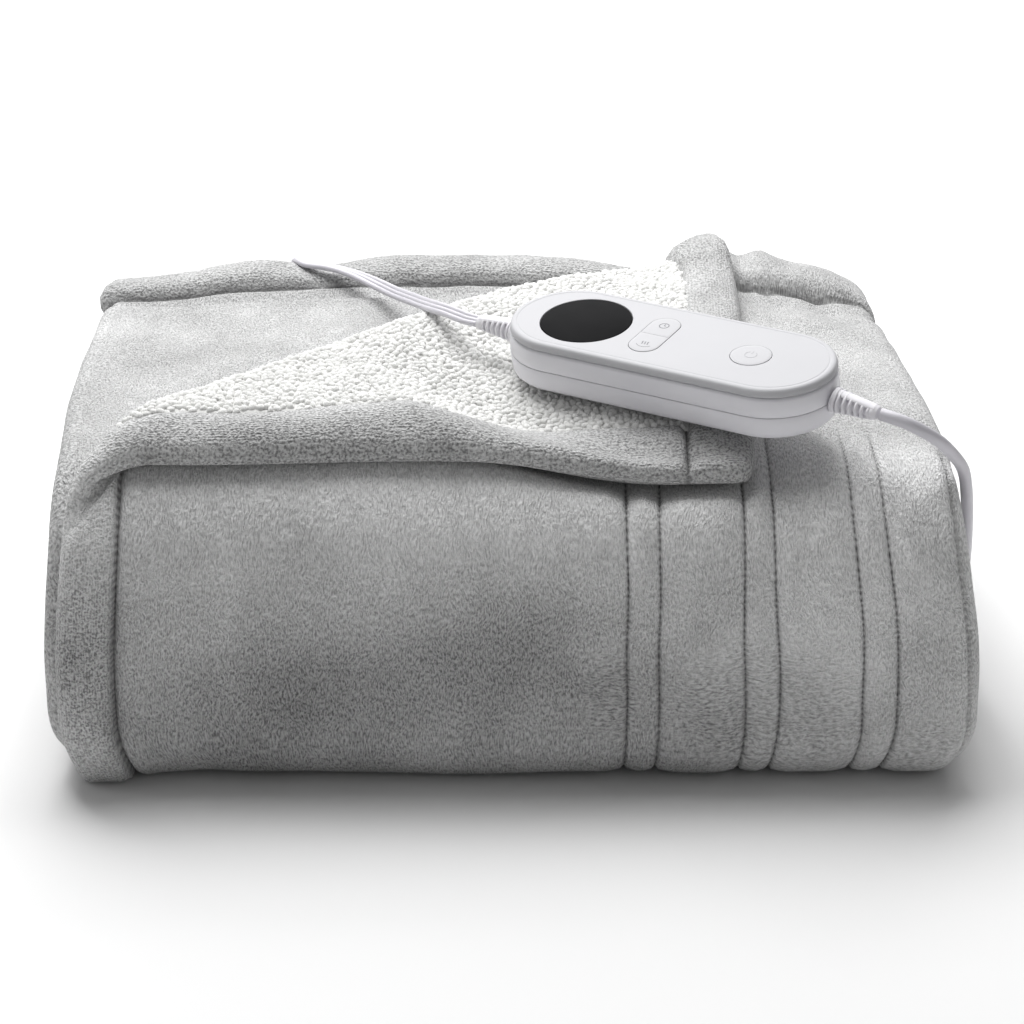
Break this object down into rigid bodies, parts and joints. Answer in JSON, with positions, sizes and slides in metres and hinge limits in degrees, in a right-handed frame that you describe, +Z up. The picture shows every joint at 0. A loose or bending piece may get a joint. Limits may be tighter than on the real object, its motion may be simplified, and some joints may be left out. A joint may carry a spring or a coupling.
{
  "type": "electric heated throw blanket, folded, with hand control",
  "caption": "Folded heated throw in grey flannel, one corner turned over to show a white sherpa side, with an oblong hand control, its flat lead and a coiled mains flex.",
  "frame": {"origin": "on the surface that the folded throw rests on, under the middle of the folded pack", "axes": "+Z up; +X along the pack's longer side, to the right as the hand control is read; -Y towards the pack's smooth folded front"},
  "size_m": [0.4153, 0.4212, 0.1897],
  "materials": {
    "flannel": "short brushed pile with a soft sheen",
    "sherpa": "curly sheared fleece, matt",
    "handset_shell": "fine-textured moulding, satin",
    "handset_face": "smooth moulding, satin",
    "display": "dark polished window",
    "keys": "smooth moulding with printed icons",
    "relief_rubber": "soft moulded, matt",
    "cord_vinyl": "soft extruded vinyl, satin",
    "tie_plastic": "matt strip",
    "plug_plastic": "moulded, satin",
    "pin_metal": "plated, polished"
  },
  "bodies": {
    "throw_pack": {"throw": "flannel", "sherpa_lining": "sherpa", "handset_base": "handset_shell", "handset_body": "handset_shell", "handset_face": "handset_face", "display_window": "display", "mains_relief": "relief_rubber", "lead_relief": "relief_rubber", "mains_flex": "cord_vinyl", "mains_flex_tail": "cord_vinyl", "flex_coil": "cord_vinyl", "coil_tie": "tie_plastic", "mains_plug": "plug_plastic", "plug_pin_left": "pin_metal", "plug_pin_right": "pin_metal", "lead_flat": "cord_vinyl", "lead_connector": "plug_plastic"},
    "power_key": {"power_key": "keys"},
    "heat_key": {"heat_key": "keys"},
    "timer_key": {"timer_key": "keys"}
  },
  "joints": [
    {"name": "power_press", "type": "slide", "parent": "throw_pack", "child": "power_key", "axis": [0.0698, 0.1732, -0.9824], "range_m": [0, 0.0008], "stiffness_N_per_m": 400},
    {"name": "heat_press", "type": "slide", "parent": "throw_pack", "child": "heat_key", "axis": [0.0698, 0.1732, -0.9824], "range_m": [0, 0.0008], "stiffness_N_per_m": 400},
    {"name": "timer_press", "type": "slide", "parent": "throw_pack", "child": "timer_key", "axis": [0.0698, 0.1732, -0.9824], "range_m": [0, 0.0008], "stiffness_N_per_m": 400}
  ]
}
